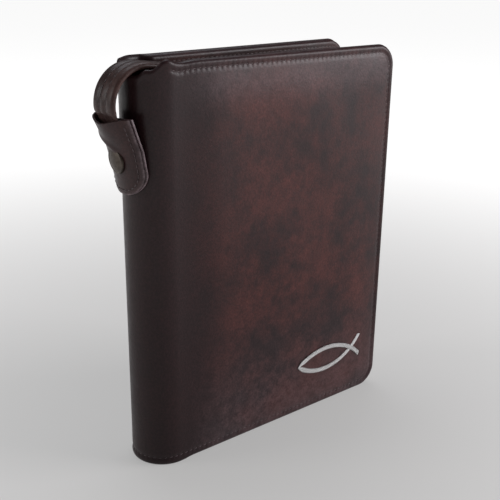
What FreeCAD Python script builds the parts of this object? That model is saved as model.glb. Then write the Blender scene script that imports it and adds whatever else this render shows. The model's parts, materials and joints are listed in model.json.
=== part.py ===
import FreeCAD, Part
import math
import os

os.makedirs("parts", exist_ok=True)
V = FreeCAD.Vector

# A bible in a padded slip-on leather cover, standing on its bottom edges.
# X runs from the spine to the fore-edge, the front cover faces -Y, +Z is up.
# All lengths are in mm and all angles in degrees.

# The closed cover.
COVER_HEIGHT = 205.0
COVER_WIDTH = 143.5        # hinge line to fore-edge
SPINE_WIDTH = 33.0         # over both covers at the hinge lines
COVER_SPLAY = 2.0          # how far each padded cover stands off the closed book
CORNER_RADIUS = 12.0
SPINE_HEAD_DROP = 7.0      # the spine leather is this much lower than the covers at the head
HINGE_GAP = 0.3            # between the spine leather and the leather of a cover
HINGE_STRIP = 8.0          # thin leather beside the hinge line, where nothing stiff lies

# The layers of a cover, from the outside in.
LEATHER = 1.2
FOAM = 2.1
BOARD = 0.9
LINING = 0.6
LINING_INSET = 0.7         # from the rolled edge of the leather
EDGE_ROLL = 1.4            # rounding of the turned leather edge
STITCH_INSET = 4.0
THREAD = 0.5               # width of a line of thread
THREAD_RISE = 0.25         # how far it stands off the strap and the tab
THREAD_SINK = 0.3          # how deep it is pulled in to the covers and the spine

# The sleeve that the book's own boards slip into.
FLAP = 0.8
FLAP_START = 72.0          # from the hinge line
FLAP_SEAM = 5.0            # width sewn down round three sides
POCKET_CLEARANCE = 0.1

# The book inside.
BOOK_BOARD = 1.0
PASTEDOWN = 0.15
FLYLEAF = 0.2
PAPER_CLEARANCE = 0.1
BOARD_TO_BLOCK = 0.45      # room for a flyleaf between board and text block
BOOK_MARGIN = 6.0          # from the cover's edge to the book's own boards
PAGE_MARGIN = 3.0          # from the boards' edge to the pages, at head and tail
FORE_MARGIN = 16.5         # from the cover's edge to the fore-edge of the pages
PAGE_CORNER = 6.0
BACK_SAGITTA = 5.0         # rounding of the glued back
HALVES_GAP = 0.1
GUTTER_GAP = 0.15          # glued back to the first fold of the pages
FLYLEAF_TIP = 1.0          # the flyleaf starts this far inside the first fold
MULL = 0.4
BOOK_SPINE = 1.0
HOLLOW = 0.7               # between the mull and the book's own spine
MULL_INSET = 0.5           # mull and bands stop this far inside the text block's faces
SPINE_INSET = 0.1          # the book's own spine stops this far inside its boards
PAPER_CORNER = 0.5
BAND_HEIGHT = 2.0
BAND_WIDTH = 1.6

# The stitched handle.
STRAP_WIDTH = 15.0
STRAP_THICKNESS = 3.0
ARCH_RADIUS = 18.5         # outer face of the loop
LOOP_OUT = 11.5            # outer face of the loop, outward of the spine
ARCH_RISE = -1.0           # top of the loop over the covers' head
ROOT_SLOPE = 8.0
ROOT_LENGTH = 13.0
BEND_RADIUS = 8.0          # where the strap turns back in to the tab
STRAP_ROW = 2.3            # each row of strap stitching from the strap's middle
ANCHOR = 1.2
ANCHOR_TAIL = 22.0         # how far the anchor reaches down inside the spine
ANCHOR_CLEARANCE = 0.15    # over the book's own spine

# The tab and its snap.
TAB_LAYER = 1.0
TAB_WIDTH = 28.0
TAB_LENGTH = 37.0
TAB_DROP = 24.0            # from the covers' head to the tab's mouth
TAB_CREASE = 15.0          # from the tab's mouth to its crease
TAB_LEAN = 8.0             # below the crease
MOUTH_BACK = 15.0          # lean of the inner layer above the crease
MOUTH_FRONT = 22.0         # lean of the outer layer above the crease
MOUTH_GAP = 0.3            # the strap thins to enter the tab from here
STRAP_IN_TAB = 10.0
STRAP_TO_BACK = 0.361      # the strap enters this far off the mouth's middle, to the inner layer
TAB_SWING = 3.0            # the tab hangs this far round the spine, towards the back cover
TAB_CORNER = 12.0
TAB_STITCH = 2.2
SNAP_UP = 16.3             # snap centre above the tab's lower end
STUD_FLANGE = 4.2          # radius
STUD_RISE = 0.6
STUD_KNOB = 1.8            # radius
STUD_LENGTH = 2.6
SOCKET_RADIUS = 5.0
SOCKET = 1.6
SNAP_CLEARANCE = 0.25
CAP_RADIUS = 6.2
CAP_RISE = 1.8
RIVET_HEAD = 4.0           # radius of the rivet's head inside the spine
RIVET_HEIGHT = 0.6

# The embroidered fish, from the fore-edge and from the bottom edge.
FISH_NOSE = (64.9, 29.8)
FISH_BACK = (39.5, 36.2)
FISH_BELLY = (45.5, 23.2)
FISH_TAIL_LOW = (16.3, 24.4)
FISH_TAIL_HIGH = (16.9, 37.2)
FISH_LINE = 3.0
FISH_RISE = 0.5

# Places that follow from the sizes above.
OUTER = SPINE_WIDTH / 2
COVER_LAYERS = LEATHER + FOAM + BOARD
LINING_FACE = COVER_LAYERS + LINING
BOOK_BOARD_FACE = LINING_FACE + POCKET_CLEARANCE + BOOK_BOARD
HALF_BLOCK = OUTER - BOOK_BOARD_FACE - PASTEDOWN - BOARD_TO_BLOCK
SPINE_TOP = COVER_HEIGHT - SPINE_HEAD_DROP
LINING_RADIUS = OUTER - LEATHER - LINING
BOOK_TOP = COVER_HEIGHT - BOOK_MARGIN
BOOK_WIDTH = COVER_WIDTH - BOOK_MARGIN
PAGE_BOTTOM = BOOK_MARGIN + PAGE_MARGIN
PAGE_TOP = BOOK_TOP - PAGE_MARGIN
PAGE_FORE = COVER_WIDTH - FORE_MARGIN
BACK_RADIUS = (HALF_BLOCK ** 2 + BACK_SAGITTA ** 2) / (2 * BACK_SAGITTA)
BACK_CENTRE = BACK_RADIUS - BACK_SAGITTA
ARCH_X = ARCH_RADIUS - OUTER - LOOP_OUT
ARCH_Z = COVER_HEIGHT + ARCH_RISE - ARCH_RADIUS
TAB_TOP = COVER_HEIGHT - TAB_DROP
TAB_BOTTOM = TAB_TOP - TAB_LENGTH
CREASE_Z = TAB_TOP - TAB_CREASE
SNAP_Z = TAB_BOTTOM + SNAP_UP
STUD_FACE = OUTER + STUD_RISE
TAB_INNER = STUD_FACE + SNAP_CLEARANCE + SOCKET
MOUTH_LEAN = (math.tan(math.radians(MOUTH_BACK)) + math.tan(math.radians(MOUTH_FRONT))) / 2
MOUTH_X = (-TAB_INNER - TAB_LAYER - (CREASE_Z - SNAP_Z) * math.tan(math.radians(TAB_LEAN))
           - (TAB_CREASE + MOUTH_GAP) * MOUTH_LEAN)

# The origin is under the middle of the whole object.
FORE_EDGE = COVER_WIDTH * math.cos(math.radians(COVER_SPLAY))
ORIGIN = V((FORE_EDGE + ARCH_X - ARCH_RADIUS) / 2, 0, 0)


def save(node, *solids):
    """Write one piece, moved so that the origin is under the object's middle."""
    shape = solids[0] if len(solids) == 1 else Part.makeCompound(list(solids))
    shape = shape.copy()
    shape.translate(ORIGIN * -1)
    shape.exportStep("parts/" + node + ".step")


def splayed(shape, side):
    """Swing a piece of the front cover to where it rests; side +1 mirrors it to the back."""
    turned = shape.copy()
    turned.rotate(V(0, -OUTER, 0), V(0, 0, 1), -COVER_SPLAY)
    return turned if side < 0 else turned.mirror(V(0, 0, 0), V(0, 1, 0))


def save_both(name, shape):
    """Write a piece that both covers have."""
    save("front_" + name, splayed(shape, -1))
    save("back_" + name, splayed(shape, +1))


def prism(points, along):
    """Solid with a straight-sided outline."""
    wire = Part.makePolygon(list(points) + [points[0]])
    return Part.Face(wire).extrude(along)


def panel(x0, x1, z0, z1, depth0, depth1, radius):
    """Flat layer with rounded fore-edge corners, between two depths under the front face."""
    y = depth0 - OUTER
    low_corner = V(x1 - radius, y, z0 + radius)
    high_corner = V(x1 - radius, y, z1 - radius)
    slant = radius * math.sqrt(0.5)
    edges = [
        Part.LineSegment(V(x0, y, z0), V(x1 - radius, y, z0)),
        Part.Arc(V(x1 - radius, y, z0), low_corner + V(slant, 0, -slant), V(x1, y, z0 + radius)),
        Part.LineSegment(V(x1, y, z0 + radius), V(x1, y, z1 - radius)),
        Part.Arc(V(x1, y, z1 - radius), high_corner + V(slant, 0, slant), V(x1 - radius, y, z1)),
        Part.LineSegment(V(x1 - radius, y, z1), V(x0, y, z1)),
        Part.LineSegment(V(x0, y, z1), V(x0, y, z0)),
    ]
    face = Part.Face(Part.Wire([edge.toShape() for edge in edges]))
    return face.extrude(V(0, depth1 - depth0, 0))


def inset_panel(x0, inset, depth0, depth1):
    """Layer that keeps one distance from the cover's three free edges."""
    return panel(x0, COVER_WIDTH - inset, inset, COVER_HEIGHT - inset, depth0, depth1,
                 CORNER_RADIUS - inset)


def ring(inner, outer, bottom, top, centre_x=0.0):
    """Upright tube."""
    place = V(centre_x, 0, bottom)
    return Part.makeCylinder(outer, top - bottom, place).cut(
        Part.makeCylinder(inner, top - bottom, place))


def block(x0, x1, y0, y1, z0, z1):
    return Part.makeBox(x1 - x0, y1 - y0, z1 - z0, V(x0, y0, z0))


def outside_hinges(shape):
    """Keep what lies on the spine's side of the hinge lines."""
    return shape.common(block(-2 * OUTER, 0, -2 * OUTER, 2 * OUTER, -1, 2 * COVER_HEIGHT))


def save_covers():
    """Two padded covers: leather turned over foam and board, and a lining."""
    tray = inset_panel(HINGE_STRIP, 0, 0, COVER_LAYERS)
    rim = [edge for edge in tray.Edges
           if edge.BoundBox.YMax < -OUTER + 0.01 and edge.BoundBox.XMax > HINGE_STRIP + 1]
    tray = tray.makeFillet(EDGE_ROLL, rim)
    hollow = inset_panel(HINGE_STRIP, LEATHER, LEATHER, COVER_LAYERS)
    strip = block(HINGE_GAP, HINGE_STRIP, -OUTER, LEATHER - OUTER, 0, COVER_HEIGHT)
    leather = tray.cut(hollow).fuse(strip).removeSplitter()
    save_both("cover_leather", leather.cut(cover_seam()))
    save_both("cover_padding", inset_panel(HINGE_STRIP, LEATHER, LEATHER, LEATHER + FOAM))
    save_both("cover_board", inset_panel(HINGE_STRIP, LEATHER, LEATHER + FOAM, COVER_LAYERS))

    step = HINGE_STRIP - LINING
    sheet = inset_panel(step, LINING_INSET, COVER_LAYERS, LINING_FACE)
    riser = block(step, HINGE_STRIP, LEATHER - OUTER, COVER_LAYERS - OUTER,
                  LINING_INSET, COVER_HEIGHT - LINING_INSET)
    low = block(HINGE_GAP, step, LEATHER - OUTER, LEATHER + LINING - OUTER,
                LINING_INSET, COVER_HEIGHT - LINING_INSET)
    save_both("cover_lining", sheet.fuse([riser, low]).removeSplitter())


def save_sleeves():
    """Each cover's sleeve, sewn down round three sides, with the book's board in it."""
    inner = LINING_FACE + POCKET_CLEARANCE * 2 + BOOK_BOARD
    flap = inset_panel(FLAP_START, LINING_INSET, LINING_FACE, inner + FLAP)
    room = inset_panel(FLAP_START, LINING_INSET + FLAP_SEAM, LINING_FACE, inner)
    save_both("sleeve_flap", flap.cut(room))

    corner = CORNER_RADIUS - BOOK_MARGIN
    near = LINING_FACE + POCKET_CLEARANCE
    save_both("book_board", panel(HINGE_STRIP, BOOK_WIDTH, BOOK_MARGIN, BOOK_TOP,
                                  near, BOOK_BOARD_FACE, corner))
    save_both("pastedown", panel(HINGE_STRIP, FLAP_START - 1, PAGE_BOTTOM, PAGE_TOP,
                                 BOOK_BOARD_FACE, BOOK_BOARD_FACE + PASTEDOWN, PAPER_CORNER))


def cover_seam():
    """The line of stitching round a cover's three free edges, sunk in its leather."""
    outline = inset_panel(HINGE_GAP, STITCH_INSET - THREAD / 2, 0, THREAD_SINK)
    return outline.cut(inset_panel(HINGE_GAP, STITCH_INSET + THREAD / 2, 0, THREAD_SINK))


def spine_seams():
    """The lines of stitching across the spine's tail and head."""
    return [outside_hinges(ring(OUTER - THREAD_SINK, OUTER, z - THREAD / 2, z + THREAD / 2))
            for z in (STITCH_INSET, SPINE_TOP - STITCH_INSET)]


def save_seams():
    save_both("seam_thread", cover_seam())
    save("spine_seam_thread", *spine_seams())


def save_spine():
    """The cover's round spine with its lining."""
    stud_hole = swung(snap_disc(STUD_KNOB, 0, 2 * OUTER))
    for node, inner, outer, inset in (
            ("spine_leather", OUTER - LEATHER, OUTER, 0),
            ("spine_lining", LINING_RADIUS, OUTER - LEATHER, LINING_INSET)):
        shell = outside_hinges(ring(inner, outer, inset, SPINE_TOP - inset))
        save(node, shell.cut([stud_hole] + spine_seams()))


def back_of_book(radius_in, radius_out, half_width, bottom, top):
    """A strip that follows the rounded back of the text block."""
    strip = ring(radius_in, radius_out, bottom, top, BACK_CENTRE)
    return strip.common(block(-2 * OUTER, 0, -half_width, half_width, bottom, top))


def save_book():
    """The glued back of the bible with its mull, bands and own spine, and the loose pages."""
    back = Part.makeCylinder(BACK_RADIUS, PAGE_TOP - PAGE_BOTTOM, V(BACK_CENTRE, 0, PAGE_BOTTOM))
    save("binding_block", back.common(
        block(-2 * OUTER, 0, -HALF_BLOCK, HALF_BLOCK, PAGE_BOTTOM, PAGE_TOP)))
    mull = BACK_RADIUS + MULL
    width = HALF_BLOCK - MULL_INSET
    save("spine_mull", back_of_book(BACK_RADIUS, mull, width, PAGE_BOTTOM, PAGE_TOP))
    band_in = BACK_RADIUS - BAND_WIDTH
    save("head_band", back_of_book(band_in, mull, width, PAGE_TOP, PAGE_TOP + BAND_HEIGHT))
    save("tail_band", back_of_book(band_in, mull, width, PAGE_BOTTOM - BAND_HEIGHT, PAGE_BOTTOM))
    shell = mull + HOLLOW
    half = HALF_BLOCK + BOOK_BOARD - SPINE_INSET
    near_x = BACK_CENTRE - math.sqrt(shell ** 2 - (STRAP_WIDTH / 2) ** 2)
    head = min(BOOK_TOP, anchor_underside(near_x) - ANCHOR_CLEARANCE)
    save("book_spine", back_of_book(shell, shell + BOOK_SPINE, half, BOOK_MARGIN, head))

    depth = OUTER - HALF_BLOCK
    pages = panel(GUTTER_GAP, PAGE_FORE, PAGE_BOTTOM, PAGE_TOP, depth, OUTER - HALVES_GAP / 2,
                  PAGE_CORNER)
    leaf = panel(GUTTER_GAP + FLYLEAF_TIP, PAGE_FORE, PAGE_BOTTOM, PAGE_TOP,
                 depth - PAPER_CLEARANCE - FLYLEAF, depth - PAPER_CLEARANCE, PAGE_CORNER)
    for name, shape in (("pages", pages), ("flyleaf", leaf)):
        save("front_" + name, shape)
        save("back_" + name, shape.mirror(V(0, 0, 0), V(0, 1, 0)))


def arch_point(angle, radius):
    """Point on the loop, by its angle from straight up towards the spine's outside."""
    turn = math.radians(angle)
    return V(ARCH_X - radius * math.sin(turn), 0, ARCH_Z + radius * math.cos(turn))


def anchor_underside(x):
    """Height of the handle anchor's underside along the strap's root."""
    start = arch_point(-ROOT_SLOPE, ARCH_RADIUS - STRAP_THICKNESS)
    return start.z - ANCHOR - (x - start.x) * math.tan(math.radians(ROOT_SLOPE))


def bend_point(angle, radius):
    """Point on the lower bend, which turns the strap back in to the tab."""
    turn = math.radians(angle)
    centre_x = ARCH_X - ARCH_RADIUS + STRAP_THICKNESS / 2 + BEND_RADIUS
    return V(centre_x - radius * math.cos(turn), 0, ARCH_Z - radius * math.sin(turn))


def strap_solid(rise0, rise1, half0, half1):
    """The loop between two heights over its inner face and two places across its width."""
    inner = ARCH_RADIUS - STRAP_THICKNESS
    bend = BEND_RADIUS - STRAP_THICKNESS / 2
    lean = (MOUTH_BACK + MOUTH_FRONT) / 2
    end_x = MOUTH_X + STRAP_TO_BACK
    end_z = TAB_TOP + MOUTH_GAP

    def side(rise):
        start = arch_point(-ROOT_SLOPE, inner + rise)
        middle = arch_point(45, inner + rise)
        end = arch_point(90, inner + rise)
        turn = bend_point(lean / 2, bend + rise)
        low = bend_point(lean, bend + rise)
        out = (rise - STRAP_THICKNESS / 2) / math.cos(math.radians(lean))
        return start, middle, end, turn, low, V(end_x - out, 0, end_z)

    a, b = side(rise0), side(rise1)
    edges = [
        Part.Arc(a[0], a[1], a[2]).toShape(), Part.Arc(a[2], a[3], a[4]).toShape(),
        Part.LineSegment(a[4], a[5]).toShape(), Part.LineSegment(a[5], b[5]).toShape(),
        Part.LineSegment(b[5], b[4]).toShape(),
        Part.Arc(b[4], b[3], b[2]).toShape(), Part.Arc(b[2], b[1], b[0]).toShape(),
        Part.LineSegment(b[0], a[0]).toShape(),
    ]
    solid = Part.Face(Part.Wire(edges)).extrude(V(0, half1 - half0, 0))
    solid.translate(V(0, half0, 0))
    return solid


def leaning(radius, mouth_lean, top):
    """Round column that leans outward like the tab, a little up to its crease and more above."""
    rise = V(-math.tan(math.radians(TAB_LEAN)), 0, 1)
    foot = V(0, 0, SNAP_Z) + rise * (TAB_BOTTOM - SNAP_Z)
    crease = V(0, 0, SNAP_Z) + rise * (CREASE_Z - SNAP_Z)
    low = Part.Face(Part.Wire(Part.makeCircle(radius, foot))).extrude(crease - foot)
    rise = V(-math.tan(math.radians(mouth_lean)), 0, 1)
    high = Part.Face(Part.Wire(Part.makeCircle(radius, crease))).extrude(rise * (top - CREASE_Z))
    return low.fuse(high)


def tab_outline(inset):
    """The tab's outline seen from outside, as a prism that runs outward from the spine."""
    half = TAB_WIDTH / 2 - inset
    radius = TAB_CORNER - inset
    slant = radius * math.sqrt(0.5)
    x, low = -3 * OUTER, TAB_BOTTOM + inset
    left, right = -half + radius, half - radius
    points = V(x, -half, low + radius), V(x, left - slant, low + radius - slant), V(x, left, low)
    others = V(x, right, low), V(x, right + slant, low + radius - slant), V(x, half, low + radius)
    edges = [
        Part.Arc(*points).toShape(), Part.LineSegment(points[2], others[0]).toShape(),
        Part.Arc(*others).toShape(), Part.LineSegment(others[2], V(x, half, TAB_TOP)).toShape(),
        Part.LineSegment(V(x, half, TAB_TOP), V(x, -half, TAB_TOP)).toShape(),
        Part.LineSegment(V(x, -half, TAB_TOP), points[0]).toShape(),
    ]
    return Part.Face(Part.Wire(edges)).extrude(V(-x - TAB_WIDTH / 4, 0, 0))


def snap_axis(distance):
    """Place on the snap's line this far from the spine's axis, and the way outward."""
    lean = math.radians(TAB_LEAN)
    out = V(-math.cos(lean), 0, -math.sin(lean))
    return V(-TAB_INNER, 0, SNAP_Z) + out * (distance - TAB_INNER), out


def snap_disc(radius, near, far):
    return Part.makeCylinder(radius, far - near, *snap_axis(near))


def swung(shape):
    """Swing a piece of the tab or snap round the spine to where it is closed."""
    return shape.rotated(V(0, 0, 0), V(0, 0, 1), -TAB_SWING)


def save_handle():
    """The stitched strap from the head of the spine to its tab."""
    half = STRAP_WIDTH / 2
    slope = math.radians(ROOT_SLOPE)
    top = arch_point(-ROOT_SLOPE, ARCH_RADIUS)
    under = arch_point(-ROOT_SLOPE, ARCH_RADIUS - STRAP_THICKNESS)
    run = V(math.cos(slope), 0, -math.sin(slope)) * ROOT_LENGTH
    across = V(0, STRAP_WIDTH, 0)
    root = prism([top, under, under + run, top + run], across)
    root.translate(V(0, -half, 0))
    save("strap_root", root)

    wall, head = -LINING_RADIUS, SPINE_TOP - ANCHOR / 2
    thick = V(0, 0, -ANCHOR)
    knee = V(wall + 2 * ANCHOR, 0, head + ANCHOR)
    outline = [under + run, under, knee, V(wall, 0, head), V(wall, 0, head - ANCHOR_TAIL),
               V(wall + 2 * ANCHOR, 0, head - ANCHOR_TAIL), knee + thick * 2, under + thick,
               under + run + thick]
    anchor = prism(outline, across)
    anchor.translate(V(0, -half, 0))
    inside_spine = Part.makeCylinder(LINING_RADIUS, COVER_HEIGHT, V(0, 0, ANCHOR_TAIL))
    save("handle_anchor", anchor.common(inside_spine))

    back_outer = TAB_INNER + TAB_LAYER
    tail_top = TAB_TOP + 4 * MOUTH_GAP
    tail = leaning(back_outer, MOUTH_FRONT, tail_top).cut(
        leaning(back_outer, MOUTH_BACK, tail_top))
    tail = swung(tail).common(block(-4 * OUTER, -OUTER / 2, -half, half,
                                    TAB_TOP - STRAP_IN_TAB, tail_top))
    save("handle_strap", strap_solid(0, STRAP_THICKNESS, -half, half).fuse(tail))
    rows = [strap_solid(STRAP_THICKNESS, STRAP_THICKNESS + THREAD_RISE,
                        y - THREAD / 2, y + THREAD / 2) for y in (-STRAP_ROW, STRAP_ROW)]
    save("strap_seam_thread", *rows)


def save_tab():
    """The two leather layers of the tab, sewn together round the strap's end."""
    outline = tab_outline(0)
    knob_hole = snap_disc(STUD_KNOB + SNAP_CLEARANCE, 0, TAB_INNER + TAB_LAYER)
    layers = (
        ("tab_back", TAB_INNER, MOUTH_BACK),
        ("tab_front", TAB_INNER + TAB_LAYER, MOUTH_FRONT),
    )
    for node, inner, lean in layers:
        layer = leaning(inner + TAB_LAYER, lean, TAB_TOP).cut(leaning(inner, lean, TAB_TOP + 1))
        save(node, swung(layer.common(outline).cut(knob_hole)))
    face = TAB_INNER + 2 * TAB_LAYER
    skin = leaning(face + THREAD_RISE, MOUTH_FRONT, TAB_TOP).cut(
        leaning(face, MOUTH_FRONT, TAB_TOP + 1))
    row = tab_outline(TAB_STITCH - THREAD / 2).cut(tab_outline(TAB_STITCH + THREAD / 2))
    below_mouth = block(-4 * OUTER, 0, -OUTER, OUTER, 0, TAB_TOP - TAB_STITCH)
    save("tab_seam_thread", swung(skin.common(row).common(below_mouth)))


def save_snap():
    """Cap and socket riveted to the tab, stud riveted through the spine."""
    spine_face = Part.makeCylinder(OUTER, COVER_HEIGHT)
    flange = snap_disc(STUD_FLANGE, OUTER / 2, STUD_FACE)
    knob = snap_disc(STUD_KNOB, OUTER / 2, STUD_FACE + STUD_LENGTH)
    save("snap_stud", swung(flange.fuse(knob).cut(spine_face)))
    lining_face = Part.makeCylinder(LINING_RADIUS, COVER_HEIGHT)
    head_face = LINING_RADIUS - 2 * RIVET_HEIGHT
    shank = snap_disc(STUD_KNOB, head_face, OUTER + LEATHER).common(spine_face)
    head = snap_disc(RIVET_HEAD, head_face, OUTER).common(lining_face)
    save("snap_rivet", swung(shank.fuse(head)))

    tab_back_face = leaning(TAB_INNER, MOUTH_BACK, TAB_TOP)
    ring_solid = snap_disc(SOCKET_RADIUS, STUD_FACE + SNAP_CLEARANCE, TAB_INNER + TAB_LAYER / 2)
    hole = snap_disc(STUD_KNOB + SNAP_CLEARANCE, 0, TAB_INNER + TAB_LAYER)
    save("snap_socket", swung(ring_solid.common(tab_back_face).cut(hole)))
    face = TAB_INNER + 2 * TAB_LAYER
    dome = (CAP_RADIUS ** 2 + CAP_RISE ** 2) / (2 * CAP_RISE)
    place, out = snap_axis(face + CAP_RISE - dome)
    edge = snap_disc(CAP_RADIUS, face - CAP_RISE, face + 2 * CAP_RISE)
    cap = Part.makeSphere(dome, place).common(edge)
    save("snap_cap", swung(cap.cut(leaning(face, MOUTH_FRONT, TAB_TOP))))


def save_fish():
    """The fish sign, embroidered on the front cover as two crossing curves."""
    def at(place):
        return V(COVER_WIDTH - place[0], -OUTER, place[1])

    def line(middle, tail):
        curve = Part.Arc(at(FISH_NOSE), at(middle), at(tail)).toShape().Curve
        centre, radius = curve.Center, curve.Radius
        band = Part.makeCylinder(radius + FISH_LINE / 2, FISH_RISE, centre, V(0, -1, 0)).cut(
            Part.makeCylinder(radius - FISH_LINE / 2, FISH_RISE, centre, V(0, -1, 0)))
        return band.common(prism(
            [centre, centre + (at(FISH_NOSE) - centre) * 3, centre + (at(middle) - centre) * 5,
             centre + (at(tail) - centre) * 3], V(0, -FISH_RISE, 0)))

    nose = Part.makeCylinder(FISH_LINE / 2, FISH_RISE, at(FISH_NOSE), V(0, -1, 0))
    fish = line(FISH_BACK, FISH_TAIL_LOW).fuse([line(FISH_BELLY, FISH_TAIL_HIGH), nose])
    save("fish_embroidery", splayed(fish.removeSplitter(), -1))


save_covers()
save_sleeves()
save_seams()
save_spine()
save_book()
save_handle()
save_tab()
save_snap()
save_fish()
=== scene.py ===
import json
import math
import bmesh
import bpy
from mathutils import Matrix, Vector, noise


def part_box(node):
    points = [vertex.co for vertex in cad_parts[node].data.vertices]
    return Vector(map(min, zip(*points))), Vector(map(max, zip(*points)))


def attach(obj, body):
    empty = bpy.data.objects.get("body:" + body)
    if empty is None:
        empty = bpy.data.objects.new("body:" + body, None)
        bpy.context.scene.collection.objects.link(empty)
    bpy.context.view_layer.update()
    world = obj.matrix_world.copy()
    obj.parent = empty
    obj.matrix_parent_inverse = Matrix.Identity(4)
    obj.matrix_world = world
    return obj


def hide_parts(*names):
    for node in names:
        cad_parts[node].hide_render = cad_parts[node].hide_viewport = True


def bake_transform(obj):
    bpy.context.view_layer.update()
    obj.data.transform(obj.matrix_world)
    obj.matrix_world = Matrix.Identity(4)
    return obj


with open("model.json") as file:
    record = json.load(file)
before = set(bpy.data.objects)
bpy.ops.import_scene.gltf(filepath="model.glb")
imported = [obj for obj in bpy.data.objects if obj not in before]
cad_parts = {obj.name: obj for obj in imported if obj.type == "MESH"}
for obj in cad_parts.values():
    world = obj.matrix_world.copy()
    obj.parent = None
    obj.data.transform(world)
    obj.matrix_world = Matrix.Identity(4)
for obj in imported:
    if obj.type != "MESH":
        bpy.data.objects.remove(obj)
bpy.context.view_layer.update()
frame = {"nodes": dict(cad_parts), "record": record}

# ---- The skin of the cover ----------------------------------------------------------------
# Glazed dark oxblood leather over thin foam: one piece wraps most of the spine and the front,
# one the rest and the back. The edges are turned over the board and sewn down all round.
MM = 0.001
HINGES = {joint["name"]: joint["pos_m"] for joint in frame["record"]["behaviour"]["joints"]}
HINGE_X = HINGES["front_cover_hinge"][0]
OUTER = -HINGES["front_cover_hinge"][1]
COVER_HEIGHT = 205 * MM
COVER_WIDTH = 143.5 * MM
SPLAY = math.radians(2)
CORNER = 12 * MM
HEAD_STEP = (3.6 * MM, 0.4 * MM)   # drop of the head over the spine, front and back
STRAP_STEP = 6 * MM          # drop of the head where the strap lies over it
HEAD_DIP = 0.8 * MM          # short sag of the front's head beside the ear, clear of the foam
DIP_AT = 2.5 * MM
DIP_RUN = 5.5 * MM
EAR = 1.2 * MM               # the folded leather stands up a little where spine meets cover
EAR_SWELL = 1.3 * MM         # and stands out
FRONT_WRAP = OUTER * math.radians(150)
BACK_WRAP = OUTER * math.radians(30)
SPINE_EDGE = 0.95 * MM       # half the thickness of the turned edge
COVER_EDGE = 2.1 * MM
SKIN = 0.9 * MM
HEM = ((0.35, 0.55), (1.0, 0.95), (2.2, 1.02), (3.4, 1.0), (4.0, 0.95), (4.6, 1.0), (5.2, 0.96),
       (5.3, 0.9))          # the turned edge: inset in mm, and depth as a share of the cover's
CROWN = 1.5 * MM
CROWN_RUN = 13 * MM
SWELL = 0.35 * MM            # uneven stuffing
STITCH_INSET = 4 * MM
STITCH_PITCH = 3.0 * MM
SEWN_FROM = -3 * MM          # at the head the row starts just round on the spine
GROOVE = 0.5 * MM
PUCKER = 0.22 * MM
CELL = 3.3 * MM              # of the flat leather, before its edges are divided finer
SQUARE_EDGE = math.radians(75)   # the rims of a sheet are crisp, its bends smooth


def smooth(value):
    value = min(max(value, 0), 1)
    return value * value * (3 - 2 * value)


def bump_at(value, width):
    return math.exp(-(value / width) ** 2)


def lay(s, z, h, side):
    """Place on a cover: s along the leather from the hinge line, z up, h off the leather."""
    if s < 0:
        turn = -s / OUTER
        x = -(OUTER + h) * math.sin(turn)
        y = -(OUTER + h) * math.cos(turn)
    else:
        x = s * math.cos(SPLAY) - h * math.sin(SPLAY)
        y = -OUTER - s * math.sin(SPLAY) - h * math.cos(SPLAY)
    return Vector((HINGE_X + x, y if side < 0 else -y, z))


def edge_gap(s, z):
    """Distance to the cover's nearest free edge, and the way inward from that edge."""
    low = z < COVER_HEIGHT / 2
    from_fore = COVER_WIDTH - s
    from_end = z if low else COVER_HEIGHT - z
    up = 1 if low else -1
    if from_fore < CORNER and from_end < CORNER:
        away = Vector((CORNER - from_fore, CORNER - from_end))
        if away.length < 1e-9:
            return CORNER, Vector((-1, 0))
        inward = away.normalized() * -1
        return CORNER - away.length, Vector((inward.x, -inward.y * up))
    if from_fore < from_end:
        return from_fore, Vector((-1, 0))
    return from_end, Vector((0, up))


STRAIGHT = COVER_WIDTH - CORNER
QUARTER = CORNER * math.pi / 2
SEAM_LENGTH = 2 * STRAIGHT + 2 * QUARTER + COVER_HEIGHT - 2 * CORNER


def along_seam(p, inset):
    """Place on the seam and its heading, p from the hinge line along the bottom."""
    if p < STRAIGHT:
        return p, inset, 0
    if p < STRAIGHT + QUARTER:
        turn = (p - STRAIGHT) / CORNER
        reach = CORNER - inset
        return STRAIGHT + reach * math.sin(turn), CORNER - reach * math.cos(turn), turn
    if p < SEAM_LENGTH / 2:
        return COVER_WIDTH - inset, CORNER + p - STRAIGHT - QUARTER, math.pi / 2
    s, z, turn = along_seam(SEAM_LENGTH - p, inset)
    return s, COVER_HEIGHT - z, math.pi - turn


def seam_phase(s, z):
    """How far along the seam the nearest place is."""
    low = z < COVER_HEIGHT / 2
    from_end = z if low else COVER_HEIGHT - z
    from_fore = COVER_WIDTH - s
    if from_fore < CORNER and from_end < CORNER:
        p = STRAIGHT + CORNER * math.atan2(CORNER - from_fore, CORNER - from_end)
    elif from_fore < from_end:
        p = STRAIGHT + QUARTER + from_end - CORNER
    else:
        p = s
    return p if low else SEAM_LENGTH - p


def edge_half(s):
    return SPINE_EDGE + (COVER_EDGE - SPINE_EDGE) * smooth(s / (8 * MM))


def cover_depth(s):
    """From the outside of the leather to the face of its turned edge inside."""
    return 2.05 * MM + 3.25 * MM * smooth((s - 1 * MM) / (7 * MM))


def head_drop(s, z, side):
    """How much lower the leather's head lies beside and over the spine."""
    if s < -OUTER * math.pi / 2:
        s, side = -OUTER * math.pi - s, -side
    step = HEAD_STEP[0 if side < 0 else 1]
    drop = step * smooth((-s - 4 * MM) / (7 * MM))
    drop += (STRAP_STEP - step) * smooth((-s - 13.5 * MM) / (4.5 * MM))
    if side < 0:
        drop += HEAD_DIP * bump_at(s - DIP_AT, DIP_RUN) - EAR * bump_at(s + 5 * MM, 4 * MM)
    return drop * smooth((z - 0.75 * COVER_HEIGHT) / (0.25 * COVER_HEIGHT))


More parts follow.
